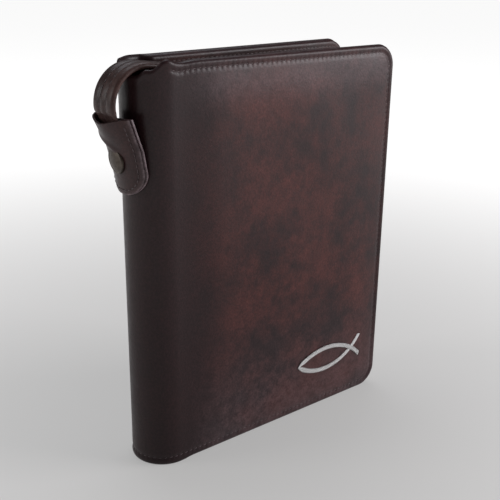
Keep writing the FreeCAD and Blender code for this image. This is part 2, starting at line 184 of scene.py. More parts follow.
def leather_rise(s, z, side):
    """How far the padded leather stands off the flat cover."""
    gap = edge_gap(s, z)[0]
    half = edge_half(s)
    rise = 0
    if gap < half:
        rise = math.sqrt(max(half ** 2 - (half - gap) ** 2, 0)) - half
    stitch = math.cos(2 * math.pi * seam_phase(s, z) / STITCH_PITCH)
    sewn = 1 if z < COVER_HEIGHT / 2 else smooth((s - SEWN_FROM + MM) / (2 * MM))
    rise -= sewn * bump_at(gap - STITCH_INSET, 0.9 * MM) * (GROOVE + PUCKER * stitch)
    rise += bump_at(gap - 2 * MM, 1.2 * MM) * 0.2 * MM * smooth(gap / MM)
    over_pad = smooth((s - 2 * MM) / (24 * MM))
    crown = 1 - math.exp(-max(gap - STITCH_INSET, 0) / CROWN_RUN)
    rise += CROWN * crown * over_pad
    swell = noise.noise(Vector((s, z, side * 0.05)) * 26)
    rise += SWELL * swell * smooth((gap - STITCH_INSET) / (12 * MM)) * smooth(s / (20 * MM))
    if side < 0:
        rise += EAR_SWELL * bump_at(s + 4 * MM, 5 * MM) * bump_at(z - COVER_HEIGHT, 8 * MM)
    return rise


def round_corner(value, across, radius):
    """Moves a square corner's place on to a round corner; both inputs count from its centre."""
    a, b = value / radius, across / radius
    return value * math.sqrt(1 - b * b / 2), across * math.sqrt(1 - a * a / 2)


def add_node(tree, kind, inputs=(), **settings):
    """One shader node, its settings, its values and the sockets that feed it."""
    node = tree.nodes.new(kind)
    for name, value in settings.items():
        setattr(node, name, value)
    for key, value in dict(inputs).items():
        if isinstance(value, bpy.types.NodeSocket):
            tree.links.new(value, node.inputs[key])
        else:
            node.inputs[key].default_value = value
    return node


def new_group(name, inputs, outputs):
    """Shader node group with named sockets; returns its tree, its inputs and its output node."""
    tree = bpy.data.node_groups.new(name, "ShaderNodeTree")
    for socket, kind in inputs:
        tree.interface.new_socket(socket, in_out="INPUT", socket_type=kind)
    for socket, kind in outputs:
        tree.interface.new_socket(socket, in_out="OUTPUT", socket_type=kind)
    return tree, tree.nodes.new("NodeGroupInput").outputs, tree.nodes.new("NodeGroupOutput")


def spread(tree, source, low, high, to_low=0.0, to_high=1.0):
    """Stretch a value between two limits."""
    return add_node(tree, "ShaderNodeMapRange", {
        "Value": source, "From Min": low, "From Max": high,
        "To Min": to_low, "To Max": to_high}, interpolation_type="SMOOTHSTEP").outputs["Result"]


def blend_colour(tree, share, first, second):
    node = add_node(tree, "ShaderNodeMix", data_type="RGBA")
    for index, value in ((0, share), (6, first), (7, second)):
        if isinstance(value, bpy.types.NodeSocket):
            tree.links.new(value, node.inputs[index])
        else:
            node.inputs[index].default_value = value
    return node.outputs[2]


def noise_value(tree, place, scale, detail=3.0, roughness=0.55):
    return add_node(tree, "ShaderNodeTexNoise", {
        "Vector": place, "Scale": scale, "Detail": detail, "Roughness": roughness}).outputs["Fac"]


def arithmetic(tree, operation, first, second):
    return add_node(tree, "ShaderNodeMath", {0: first, 1: second}, operation=operation).outputs[0]


COLOUR, FLOAT, VECTOR = "NodeSocketColor", "NodeSocketFloat", "NodeSocketVector"
hide, hide_in, hide_out = new_group(
    "glazed_hide",
    (("Place", VECTOR), ("Shade", FLOAT), ("Wear_and_sheen", FLOAT), ("Dark", COLOUR), ("Warm", COLOUR),
     ("Glaze", FLOAT)),
    (("Colour", COLOUR), ("Roughness", FLOAT), ("Height", FLOAT)))
clouds = noise_value(hide, hide_in["Place"], 26, 5, 0.6)
mottle = noise_value(hide, hide_in["Place"], 210, 4, 0.65)
speck = noise_value(hide, hide_in["Place"], 900, 2, 0.6)
patches = spread(hide, arithmetic(hide, "ADD", arithmetic(hide, "MULTIPLY", clouds, 0.85),
                                  arithmetic(hide, "MULTIPLY", mottle, 0.22)), 0.36, 0.76)
open_part = arithmetic(hide, "SUBTRACT", 1.0, hide_in["Shade"])
warmth = arithmetic(hide, "MULTIPLY", patches, open_part)
tone = blend_colour(hide, warmth, hide_in["Dark"], hide_in["Warm"])
# Paler lilac where the wear and sheen mark says, broken by the mottle: painted sheen on the
# covers, wear and painted highlight on the tab's edges.
wear_and_sheen_share = arithmetic(hide, "MULTIPLY", hide_in["Wear_and_sheen"], spread(hide, mottle, 0.3, 0.65, 0.35, 1.0))
tone = blend_colour(hide, wear_and_sheen_share, tone, (0.16, 0.12, 0.13, 1))
fleck = spread(hide, speck, 0.3, 0.75, 0.72, 1.2)
hide.links.new(add_node(hide, "ShaderNodeVectorMath", {0: tone, "Scale": fleck},
                        operation="SCALE").outputs[0], hide_out.inputs["Colour"])
dulled = spread(hide, mottle, 0.3, 0.7, -0.04, 0.06)
hide.links.new(arithmetic(hide, "ADD", hide_in["Glaze"], dulled), hide_out.inputs["Roughness"])
pores = add_node(hide, "ShaderNodeTexVoronoi", {"Vector": hide_in["Place"], "Scale": 1250},
                 feature="SMOOTH_F1").outputs["Distance"]
creases = noise_value(hide, hide_in["Place"], 420, 5, 0.62)
hide.links.new(arithmetic(hide, "ADD", arithmetic(hide, "MULTIPLY", pores, 0.55), creases),
               hide_out.inputs["Height"])


def new_material(name):
    """Empty node material; returns it, its tree and its shader."""
    material = bpy.data.materials.new(name)
    material.use_nodes = True
    return material, material.node_tree, material.node_tree.nodes["Principled BSDF"]


def own_place(tree):
    return add_node(tree, "ShaderNodeTexCoord").outputs["Object"]


def resting_place(tree):
    return add_node(tree, "ShaderNodeAttribute", attribute_name="rest").outputs["Vector"]


def bump(tree, shader, height, strength, distance):
    """Relief for a shader."""
    relief = add_node(tree, "ShaderNodeBump", {
        "Height": height, "Strength": strength, "Distance": distance})
    tree.links.new(relief.outputs["Normal"], shader.inputs["Normal"])


def leather(name, dark, warm, glaze, coat, shade=None, wear=None, place=resting_place,
            relief=0.35):
    """Leather finish; shade names the attribute that darkens it, wear the one that lightens it for
    wear and painted sheen.
    """
    material, tree, shader = new_material(name)
    group = add_node(tree, "ShaderNodeGroup", node_tree=hide)
    tree.links.new(place(tree), group.inputs["Place"])
    for attribute, socket in ((shade, "Shade"), (wear, "Wear_and_sheen")):
        if attribute:
            tree.links.new(add_node(tree, "ShaderNodeAttribute",
                                    attribute_name=attribute).outputs["Fac"], group.inputs[socket])
    group.inputs["Dark"].default_value = (*dark, 1)
    group.inputs["Warm"].default_value = (*warm, 1)
    group.inputs["Glaze"].default_value = glaze
    tree.links.new(group.outputs["Colour"], shader.inputs["Base Color"])
    tree.links.new(group.outputs["Roughness"], shader.inputs["Roughness"])
    shader.inputs["Coat Weight"].default_value = coat
    shader.inputs["Coat Roughness"].default_value = 0.30
    shader.inputs["Specular IOR Level"].default_value = 0.17
    bump(tree, shader, group.outputs["Height"], relief, 0.25 * MM)
    return material


def make_piece(name, shape, material, slot, **marks):
    """Turn a bmesh in to a finished object that remembers where it rests.

    Each of marks names an attribute and gives the function for its value at a place.
    """
    mesh = bpy.data.meshes.new(name)
    shape.to_mesh(mesh)
    shape.free()
    mesh.shade_smooth()
    mesh.set_sharp_from_angle(angle=SQUARE_EDGE)
    rest = mesh.attributes.new("rest", "FLOAT_VECTOR", "POINT")
    rest.data.foreach_set("vector", [value for vertex in mesh.vertices for value in vertex.co])
    for mark, value_at in marks.items():
        layer = mesh.attributes.new(mark, "FLOAT", "POINT")
        layer.data.foreach_set("value", [value_at(vertex.co) for vertex in mesh.vertices])
    mesh.materials.append(material)
    piece = bpy.data.objects.new(name, mesh)
    bpy.context.scene.collection.objects.link(piece)
    return piece


def cover_skin(side, wrap):
    """Outer leather from the spine to the fore-edge, with its turned edges."""
    shape = bmesh.new()
    length = COVER_WIDTH + wrap
    bmesh.ops.create_grid(shape, x_segments=round(length / CELL),
                          y_segments=round(COVER_HEIGHT / CELL), size=0.5)
    for vertex in shape.verts:
        vertex.co.x = (vertex.co.x + 0.5) * length - wrap
        vertex.co.z = (vertex.co.y + 0.5) * COVER_HEIGHT
        vertex.co.y = 0
    fine = set()
    for face in shape.faces:
        place = face.calc_center_median()
        if edge_gap(place.x, place.z)[0] < 3 * CELL or abs(place.x) < 3 * CELL:
            fine.update(face.edges)
    bmesh.ops.subdivide_edges(shape, edges=list(fine), cuts=3, use_grid_fill=True)
    for vertex in shape.verts:
        s, z = vertex.co.x, vertex.co.z
        up = z < COVER_HEIGHT / 2
        ends = [COVER_WIDTH - s, z if up else COVER_HEIGHT - z]
        ends = [CELL * (gap / CELL) ** 1.6 if gap < CELL else gap for gap in
                (max(gap, 0) for gap in ends)]
        if max(ends) < CORNER:
            a, b = round_corner(CORNER - ends[0], CORNER - ends[1], CORNER)
            ends = [CORNER - a, CORNER - b]
        vertex.co.x = COVER_WIDTH - ends[0]
        vertex.co.z = ends[1] if up else COVER_HEIGHT - ends[1]
    turned = [edge for edge in shape.edges if edge.is_boundary and
              not all(abs(vertex.co.x + wrap) < 1e-6 for vertex in edge.verts)]
    flat = {vertex: (vertex.co.x, vertex.co.z, None) for vertex in shape.verts}
    for tuck, depth in HEM:
        grown = bmesh.ops.extrude_edge_only(shape, edges=turned)["geom"]
        turned = [item for item in grown if isinstance(item, bmesh.types.BMEdge)
                  and item.is_boundary and not all(
                      abs(vertex.co.x + wrap) < 1e-4 for vertex in item.verts)]
        for vertex in (item for item in grown if isinstance(item, bmesh.types.BMVert)):
            gap, inward = edge_gap(vertex.co.x, vertex.co.z)
            flat[vertex] = (vertex.co.x, vertex.co.z,
                            (inward * tuck * MM, -depth * cover_depth(vertex.co.x)))
    for vertex, (s, z, tucked) in flat.items():
        if tucked is None:
            vertex.co = lay(s, z - head_drop(s, z, side), leather_rise(s, z, side), side)
        else:
            move, rise = tucked
            vertex.co = lay(s + move.x, z + move.y - head_drop(s, z, side), rise, side)
    bmesh.ops.recalc_face_normals(shape, faces=shape.faces)
    middle = min(shape.faces, key=lambda face: (face.calc_center_median() - lay(
        0.5 * COVER_WIDTH, 0.5 * COVER_HEIGHT, CROWN, side)).length)
    if middle.normal.y * side < 0:
        bmesh.ops.reverse_faces(shape, faces=shape.faces)
    bmesh.ops.solidify(shape, geom=shape.faces[:], thickness=SKIN)
    return shape


def spine_shade_and_dark_edges(place):
    """Painted shade over the spine and beside it on the covers, where the leather turns from the
    light; darker also along the free edges, open in the middle of a cover.
    """
    gap = edge_gap(place.x - HINGE_X, place.z)[0]
    beside_spine = 1 - smooth((place.x - HINGE_X - 2 * MM) / (48 * MM))
    return min(1, max(0.8 * math.exp(-gap / (8 * MM)), 0.92 * beside_spine))


# Strength of the painted sheen low on the covers and in the band under the head.
SHEEN_LOW, SHEEN_HIGH = 0.28, 0.3


def painted_skin_sheen(place):
    """Painted sheen: pale low on the covers, and in a band under the head."""
    on_cover = smooth((place.x - HINGE_X) / (30 * MM))
    low = SHEEN_LOW * bump_at(place.z, 42 * MM)
    high = SHEEN_HIGH * bump_at(COVER_HEIGHT - place.z - 12 * MM, 8 * MM)
    return on_cover * (low + high)


# Its dark colour fills the painted shade over the spine; the pale mark low on the covers and under
# the head is painted sheen.
cover_leather = leather("cover_leather", (0.0180, 0.0075, 0.0088), (0.088, 0.0225, 0.0190),
                        0.42, 0.15, shade="shade", wear="wear")
COVERS = (("front", -1, FRONT_WRAP), ("back", 1, BACK_WRAP))
for name, side, wrap in COVERS:
    skin = make_piece(name + "_cover_skin", cover_skin(side, wrap), cover_leather,
                      "cover_leather", shade=spine_shade_and_dark_edges, wear=painted_skin_sheen)
    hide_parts(*(("front_cover_leather", "spine_leather") if side < 0
                        else ("back_cover_leather",)))
    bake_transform(skin)

# ---- The stitching round the covers -------------------------------------------------------
# Thick tone-on-tone thread, one stitch after another in the groove that it has pulled in to
# the leather. It runs along the bottom from the spine, up the fore-edge and back at the head.
STITCH_LENGTH = 2.2 * MM
STITCH_THICK = 0.27 * MM
STITCH_SLANT = math.radians(7)


def stitch(shape, middle, forward, outward, length=STITCH_LENGTH, thick=STITCH_THICK):
    """One plump stitch that lies along forward on a surface that faces outward."""
    forward = forward.normalized()
    across = forward.cross(outward).normalized()
    outward = across.cross(forward)
    turned = Matrix((across, forward, outward)).transposed().to_4x4()
    turned = Matrix.Translation(middle) @ turned @ Matrix.Diagonal(
        (thick, length / 2, thick, 1))
    made = bmesh.ops.create_uvsphere(shape, u_segments=6, v_segments=4, radius=1,
                                     matrix=turned @ Matrix.Rotation(math.pi / 2, 4, "X"))
    return made["verts"]


def seam_on_cover(side, wrap):
    shape = bmesh.new()
    count = int((SEAM_LENGTH + 2 * wrap) / STITCH_PITCH)
    first = math.ceil(-wrap / STITCH_PITCH + 0.5) * STITCH_PITCH
    for index in range(count - 1):
        p = first + index * STITCH_PITCH
        s, z, turn = along_seam(p, STITCH_INSET)
        if z > COVER_HEIGHT / 2 and s < SEWN_FROM:
            continue
        turn += STITCH_SLANT
        step = 0.4 * MM
        rises = [leather_rise(s, z, side) + 0.12 * MM]
        if s > 2 * MM:
            rises.append(-0.97 * cover_depth(s) - 0.1 * MM)
        for rise in rises:
            spots = [lay(s + ds, z + dz - head_drop(s + ds, z + dz, side), rise + dh, side)
                     for ds, dz, dh in ((0, 0, 0), (0, 0, step),
                                        (step * math.cos(turn), step * math.sin(turn), 0))]
            stitch(shape, spots[0], spots[2] - spots[0], spots[1] - spots[0])
    return shape


def thread_finish(name, dark, light, sheen, pitch=2600):
    """Twisted thread with a soft shine."""
    material, tree, shader = new_material(name)
    place = resting_place(tree)
    twist = add_node(tree, "ShaderNodeTexWave", {
        "Vector": place, "Scale": pitch, "Distortion": 3.0, "Detail": 1.0},
        bands_direction="DIAGONAL").outputs["Fac"]
    wear = noise_value(tree, place, 70)
    share = arithmetic(tree, "MULTIPLY", twist, spread(tree, wear, 0.3, 0.7, 0.5, 1.0))
    tree.links.new(blend_colour(tree, share, (*dark, 1), (*light, 1)),
                   shader.inputs["Base Color"])
    tree.links.new(spread(tree, wear, 0.2, 0.8, 0.42, 0.6), shader.inputs["Roughness"])
    shader.inputs["Sheen Weight"].default_value = sheen
    bump(tree, shader, twist, 0.5, 0.1 * MM)
    return material


cover_thread = thread_finish("cover_thread", (0.028, 0.014, 0.016), (0.10, 0.058, 0.064), 0.25)
for name, side, wrap in COVERS:
    seam = make_piece(name + "_cover_stitches", seam_on_cover(side, wrap), cover_thread,
                      "seam_thread")
    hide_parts(*(("front_seam_thread", "spine_seam_thread") if side < 0
                        else ("back_seam_thread",)))
    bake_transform(seam)

# ---- The embroidered fish -----------------------------------------------------------------
# White rayon satin stitch over a low pad: threads laid side by side across two crossing arcs.
# The arc of the back lies over the arc of the belly; it is sewn through the front cover.
FISH_NOSE = (64.9 * MM, 29.8 * MM)
FISH_BACK = (39.5 * MM, 36.2 * MM)
FISH_BELLY = (45.5 * MM, 23.2 * MM)
FISH_TAIL_LOW = (16.3 * MM, 24.4 * MM)
FISH_TAIL_HIGH = (16.9 * MM, 37.2 * MM)
FISH_LINE = 3.2 * MM
FLOSS_PITCH = 0.3 * MM
FLOSS = 0.2 * MM
SATIN_SLANT = math.radians(24)


def circle_through(first, middle, last):
    """Centre and radius of the circle through three places on the cover."""
    a, b, c = Vector(first), Vector(middle), Vector(last)
    ab, ac = b - a, c - a
    double = 2 * (ab.x * ac.y - ab.y * ac.x)
    centre = a + Vector((ac.y * ab.length_squared - ab.y * ac.length_squared,
                         ab.x * ac.length_squared - ac.x * ab.length_squared)) / double
    return centre, (a - centre).length


def satin_line(shape, middle, tail, lift):
    """Threads across one arc of the fish, from its nose to its tail."""
    ends = [(COVER_WIDTH - x, z) for x, z in (FISH_NOSE, middle, tail)]
    centre, radius = circle_through(*ends)
    angles = [math.atan2(z - centre.y, x - centre.x) for x, z in ends]
    for index in (1, 2):
        while angles[index] - angles[index - 1] > math.pi:
            angles[index] -= 2 * math.pi
        while angles[index] - angles[index - 1] < -math.pi:
            angles[index] += 2 * math.pi
    count = int(abs(angles[2] - angles[0]) * radius / FLOSS_PITCH)
    for index in range(count + 1):
        share = index / count
        angle = angles[0] + (angles[2] - angles[0]) * share
        outward = Vector((math.cos(angle), math.sin(angle)))
        place = centre + outward * radius
        width = FISH_LINE * min(1, 0.3 + share * 9) * (1 - 0.16 * share)
        slant = outward.copy()
        slant.rotate(Matrix.Rotation(SATIN_SLANT, 2))
        rise = leather_rise(place.x, place.y, -1) + lift
        start = lay(place.x, place.y, rise, -1)
        along = lay(place.x + slant.x * MM, place.y + slant.y * MM, rise, -1) - start
        off = lay(place.x, place.y, rise + MM, -1) - start
        stitch(shape, start, along, off, width / math.cos(SATIN_SLANT), FLOSS)


floss = bmesh.new()
satin_line(floss, FISH_BELLY, FISH_TAIL_HIGH, 0.2 * MM)
satin_line(floss, FISH_BACK, FISH_TAIL_LOW, 0.42 * MM)
fish_thread = thread_finish("fish_thread", (0.5, 0.5, 0.5), (0.78, 0.78, 0.77), 0.35, 1800)
fish = make_piece("fish_satin_stitch", floss, fish_thread, "embroidery_thread")
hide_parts("fish_embroidery")
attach(fish, "front_cover")

# ---- The carrying loop --------------------------------------------------------------------
# A flat strap of folded leather with two rows of stitching, so it swells in to three ridges.
# It comes out of the head of the spine, arches over it and ends between the tab's layers.
ARCH_RADIUS = 18.5 * MM
STRAP_THICK = 3 * MM
STRAP_HALF = 8.2 * MM
STRAP_ROW = 2.4 * MM
ARCH_X = HINGE_X - 9.5 * MM
ARCH_Z = COVER_HEIGHT - 1 * MM - ARCH_RADIUS
ROOT_SLOPE = math.radians(8)
ROOT_LENGTH = 13 * MM
BEND_RADIUS = 8 * MM
MOUTH_LEAN = math.radians(18.5)
TAB_TOP = COVER_HEIGHT - 24 * MM
STRAP_IN_TAB = 5 * MM
BRAIDED = 0.55 * MM


def strap_outline():
    """Places round the strap's section: across its width, and off its middle."""
    upper = []
    for index in range(25):
        y = STRAP_HALF * math.sin(math.pi * (index / 24 - 0.5))
        rim = math.sqrt(max(1 - abs(y / STRAP_HALF) ** 9, 0))
        row = bump_at(abs(y) - STRAP_ROW, 0.85 * MM)
        upper.append((y, rim * (STRAP_THICK / 2 + 0.25 * MM) - BRAIDED * row * 1.5))
    lower = [(y, -rise * 0.8) for y, rise in reversed(upper[1:-1])]
    return upper + lower


def strap_frame(distance):
    """Middle of the strap, its heading and its outward side, this far from its root's end."""
    middle = ARCH_RADIUS - STRAP_THICK / 2
    arch = middle * (math.pi / 2 + ROOT_SLOPE)
    bend = BEND_RADIUS * MOUTH_LEAN
    if distance < ROOT_LENGTH:
        turn, back = -ROOT_SLOPE, ROOT_LENGTH - distance
        out = Vector((-math.sin(turn), 0, math.cos(turn)))
        head = Vector((-math.cos(turn), 0, -math.sin(turn)))
        return Vector((ARCH_X, 0, ARCH_Z)) + out * middle - head * back, head, out
    distance -= ROOT_LENGTH
    if distance < arch:
        turn = distance / middle - ROOT_SLOPE
        out = Vector((-math.sin(turn), 0, math.cos(turn)))
        head = Vector((-math.cos(turn), 0, -math.sin(turn)))
        return Vector((ARCH_X, 0, ARCH_Z)) + out * middle, head, out
    distance -= arch
    turn = min(distance / BEND_RADIUS, MOUTH_LEAN)
    out = Vector((-math.cos(turn), 0, -math.sin(turn)))
    head = Vector((math.sin(turn), 0, -math.cos(turn)))
    centre = Vector((ARCH_X - middle + BEND_RADIUS, 0, ARCH_Z))
    return centre + out * BEND_RADIUS + head * max(distance - bend, 0), head, out


STRAP_MIDDLE = ARCH_RADIUS - STRAP_THICK / 2
STRAP_LENGTH = (ROOT_LENGTH + STRAP_MIDDLE * (math.pi / 2 + ROOT_SLOPE)
                + BEND_RADIUS * MOUTH_LEAN + 2 * MM + STRAP_IN_TAB)
STRAP_STEPS = 84
shape = bmesh.new()
outline = strap_outline()
section = [shape.verts.new((0, y, rise)) for y, rise in outline]
ring = [shape.edges.new((section[i], section[i - 1])) for i in range(len(section))]
rings = [section]
for step in range(STRAP_STEPS):
    grown = bmesh.ops.extrude_edge_only(shape, edges=ring)["geom"]
    ring = [item for item in grown if isinstance(item, bmesh.types.BMEdge)
            and all(vertex in grown for vertex in item.verts)]
    rings.append([item for item in grown if isinstance(item, bmesh.types.BMVert)])
for step, verts in enumerate(rings):
    distance = STRAP_LENGTH * step / STRAP_STEPS
    place, head, out = strap_frame(distance)
    thin = 1 - 0.68 * smooth((distance - STRAP_LENGTH + STRAP_IN_TAB + 3 * MM) / (4 * MM))
    for vertex in verts:
        across, rise = vertex.co.y, vertex.co.z
        vertex.co = place + Vector((0, across, 0)) + out * rise * thin
bmesh.ops.holes_fill(shape, edges=[edge for edge in shape.edges if edge.is_boundary])
bmesh.ops.recalc_face_normals(shape, faces=shape.faces)
strap_leather = leather("strap_leather", (0.026, 0.015, 0.014), (0.075, 0.040, 0.035),
                        0.44, 0.1, relief=0.5)
strap = make_piece("carrying_strap", shape, strap_leather, "cover_leather")
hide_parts("strap_root", "handle_strap")
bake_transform(strap)

rows = bmesh.new()
for side in (-1, 1):
    distance = ROOT_LENGTH * 0.4
    while distance < STRAP_LENGTH - STRAP_IN_TAB - 1.5 * MM:
        place, head, out = strap_frame(distance)
        off = STRAP_THICK / 2 - 0.42 * MM
        stitch(rows, place + out * off + Vector((0, side * STRAP_ROW, 0)), head, out,
               2.2 * MM, 0.28 * MM)
        distance += 2.9 * MM
strap_stitches = make_piece("strap_stitches", rows, cover_thread, "seam_thread")
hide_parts("strap_seam_thread")
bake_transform(strap_stitches)

# ---- The tab ------------------------------------------------------------------------------
# Two layers of leather sewn together round the strap's end, with a rounded lower end.
# The tab wraps a little round the spine and stands off it towards its mouth.
TAB_HALF = 14 * MM
TAB_BOTTOM = TAB_TOP - 37 * MM
TAB_CORNER = 12 * MM
SNAP_Z = TAB_BOTTOM + 16.3 * MM
BEND_Z = TAB_TOP - 15 * MM     # above this the tab bends out to its mouth
TAB_LEAN = math.radians(8)
TAB_SWING = math.radians(3)
TAB_INNER = 18.95 * MM
TAB_STITCH = 2.2 * MM
TAB_SHEET = 0.9 * MM
MOUTH_SPREAD = 0.072         # slope of each layer at the mouth's middle, off their mean slope
TAB_BULGE = 1.9 * MM          # the loop pulls the tab off the spine, most on the far side
MOUTH_DIP = 3.2 * MM
CREASE = 0.8 * MM             # diagonal fold from above the snap to the tab's near edge
CREASE_ABOVE = 7.4 * MM
CREASE_WIDTH = 1.7 * MM
CREASE_SLOPE = 0.5


def tab_gap(y, z):
    """Distance to the tab's free edges."""
    from_side, from_end = TAB_HALF - abs(y), z - TAB_BOTTOM
    if from_side < TAB_CORNER and from_end < TAB_CORNER:
        return TAB_CORNER - math.hypot(TAB_CORNER - from_side, TAB_CORNER - from_end)
    return min(from_side, from_end)


def on_tab(y, z, off, face):
    """Place on a layer of the tab, off the spine's axis by off; the mouth opens in the middle."""
    over = max(z - BEND_Z, 0)
    open_part = face * MOUTH_SPREAD * (1 - (y / TAB_HALF) ** 4)
    lean = math.tan(TAB_LEAN) * (z - over - SNAP_Z) + (math.tan(MOUTH_LEAN) + open_part) * over
    lean += TAB_BULGE * smooth((z - BEND_Z + 17 * MM) / (24 * MM)) * (
        0.3 + 0.7 * smooth((y + 8 * MM) / (18 * MM)))
    crease = z - SNAP_Z - CREASE_ABOVE - CREASE_SLOPE * (y - 2 * MM)
    lean += CREASE * bump_at(crease, CREASE_WIDTH) * smooth((y + 7 * MM) / (7 * MM))
    if face > 0:
        z -= MOUTH_DIP * bump_at(y, 9 * MM) * ((z - TAB_BOTTOM) / (TAB_TOP - TAB_BOTTOM)) ** 4
    x = -lean - math.sqrt(off ** 2 - y ** 2)
    turned = Matrix.Rotation(-TAB_SWING, 3, "Z") @ Vector((x, y, z))
    return turned + Vector((HINGE_X, 0, 0))


def tab_layer(off, face):
    """One sheet of the tab; face +1 for the outer layer, -1 for the inner one."""
    shape = bmesh.new()
    bmesh.ops.create_grid(shape, x_segments=36, y_segments=46, size=0.5)
    places = {}
    for vertex in shape.verts:
        y = vertex.co.x * 2 * TAB_HALF
        z = TAB_BOTTOM + (vertex.co.y + 0.5) * (TAB_TOP - TAB_BOTTOM)
        from_side, from_end = TAB_HALF - abs(y), z - TAB_BOTTOM
        if from_side < TAB_CORNER and from_end < TAB_CORNER:
            a, b = round_corner(TAB_CORNER - from_side, TAB_CORNER - from_end, TAB_CORNER)
            y = math.copysign(TAB_HALF - TAB_CORNER + a, y)
            z = TAB_BOTTOM + TAB_CORNER - b
        places[vertex] = (y, z)
    for vertex, (y, z) in places.items():
        gap = tab_gap(y, z)
        groove = bump_at(gap - TAB_STITCH, 0.6 * MM) * 0.22 * MM
        edge = 0.3 * MM * math.exp(-gap / (0.5 * MM))
        vertex.co = on_tab(y, z, off - face * (groove + edge), face)
    bmesh.ops.recalc_face_normals(shape, faces=shape.faces)
    if shape.faces[:][0].normal.x * face > 0:
        bmesh.ops.reverse_faces(shape, faces=shape.faces)
    bmesh.ops.solidify(shape, geom=shape.faces[:], thickness=TAB_SHEET)
    return shape


tab_leather = leather("tab_leather", (0.020, 0.010, 0.011), (0.045, 0.019, 0.018), 0.42, 0.14,
                      wear="wear")


def tab_wear(place):
    """Paler raw edges: worn, and with a painted highlight where they catch the light."""
    upright = Matrix.Rotation(TAB_SWING, 3, "Z") @ (place - Vector((HINGE_X, 0, 0)))
    return math.exp(-max(tab_gap(upright.y, upright.z), 0) / (0.45 * MM))


for name, off, face in (("outer", TAB_INNER + 2 * MM, 1), ("inner", TAB_INNER + 0.1 * MM, -1)):
    layer = make_piece("tab_" + name + "_layer", tab_layer(off, face), tab_leather,
                       "cover_leather", wear=tab_wear)
    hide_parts("tab_front" if face > 0 else "tab_back")
    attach(layer, "handle")

rows = bmesh.new()
for side in (-1, 1):
    p = 0.8 * MM
    flat, reach = TAB_HALF - TAB_CORNER, TAB_CORNER - TAB_STITCH
    while True:
        if p < flat:
            y, z, turn = p, TAB_BOTTOM + TAB_STITCH, 0
        elif p < flat + reach * math.pi / 2:
            turn = (p - flat) / reach
            y = flat + reach * math.sin(turn)
            z = TAB_BOTTOM + TAB_CORNER - reach * math.cos(turn)
        else:
            turn = math.pi / 2
            y = TAB_HALF - TAB_STITCH
            z = TAB_BOTTOM + TAB_CORNER + p - flat - reach * math.pi / 2
        if z > TAB_TOP - 2 * MM:
            break
        off = TAB_INNER + 1.95 * MM
        middle = on_tab(side * y, z, off, 1)
        ahead = on_tab(side * (y + 0.2 * MM * math.cos(turn)), z + 0.2 * MM * math.sin(turn),
                       off, 1)
        stitch(rows, middle, ahead - middle, on_tab(side * y, z, off + MM, 1) - middle,
               1.9 * MM, 0.24 * MM)
        p += 2.5 * MM
tab_stitches = make_piece("tab_stitches", rows, cover_thread, "seam_thread")
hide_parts("tab_seam_thread")
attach(tab_stitches, "handle")

# ---- The snap -----------------------------------------------------------------------------
# Antique brass: a pressed cap and a socket riveted through the tab, a stud on the spine.
# The cap is a low dome in a rolled rim, its brass tarnished unevenly.
CAP_SECTION = ((0, 1.85), (2.4, 1.75), (4.3, 1.25), (5.0, 0.9), (5.35, 0.85), (5.75, 0.98),
               (6.1, 0.8), (6.25, 0.35), (6.1, -0.25))


def snap_line(distance):
    """Place on the snap's line this far from the spine's axis, and the way outward."""
    out = Vector((-math.cos(TAB_LEAN), 0, -math.sin(TAB_LEAN)))
    place = Vector((-TAB_INNER, 0, SNAP_Z)) + out * (distance - TAB_INNER)
    swing = Matrix.Rotation(-TAB_SWING, 3, "Z")
    return swing @ place + Vector((HINGE_X, 0, 0)), swing @ out


shape = bmesh.new()
verts = [shape.verts.new((radius * MM, 0, rise * MM)) for radius, rise in CAP_SECTION]
for index in range(1, len(verts)):
    shape.edges.new((verts[index - 1], verts[index]))
bmesh.ops.spin(shape, geom=shape.verts[:] + shape.edges[:], cent=(0, 0, 0), axis=(0, 0, 1),
               angle=2 * math.pi, steps=56, use_merge=True)
bmesh.ops.remove_doubles(shape, verts=shape.verts, dist=0.005 * MM)
bmesh.ops.holes_fill(shape, edges=[edge for edge in shape.edges if edge.is_boundary])
bmesh.ops.recalc_face_normals(shape, faces=shape.faces)
place, out = snap_line(TAB_INNER + 2 * MM)
upright = out.to_track_quat("Z", "Y").to_matrix().to_4x4()
bmesh.ops.transform(shape, matrix=Matrix.Translation(place) @ upright, verts=shape.verts)

brass, tree, shader = new_material("antique_brass")
place = own_place(tree)
tarnish = noise_value(tree, place, 260, 3, 0.5)
scratch = noise_value(tree, place, 2600, 2)
tree.links.new(blend_colour(tree, spread(tree, tarnish, 0.35, 0.7), (0.050, 0.040, 0.034, 1),
                            (0.085, 0.067, 0.054, 1)), shader.inputs["Base Color"])
tree.links.new(spread(tree, scratch, 0.3, 0.7, 0.42, 0.58), shader.inputs["Roughness"])
tree.links.new(spread(tree, tarnish, 0.3, 0.7, 0.95, 0.7), shader.inputs["Metallic"])
bump(tree, shader, scratch, 0.2, 0.08 * MM)
cap = make_piece("snap_cap_dome", shape, brass, "antique_brass")
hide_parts("snap_cap")
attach(cap, "handle")

# ---- What lies inside the cover -----------------------------------------------------------
# Glossy leatherette linings, leather sleeves for the book's boards, foam and grey board. Lining
# and sleeve are sheets that follow the cover's skin and are sewn down under its turned edge.
# Foam, board, the spine's lining and the snap's inner parts keep their CAD shapes.


def finish_nodes(material, *names):
    """Give CAD pieces their finish."""
    for name in names:
        slots = frame["nodes"][name].data.materials
        slots.clear()
        slots.append(material)


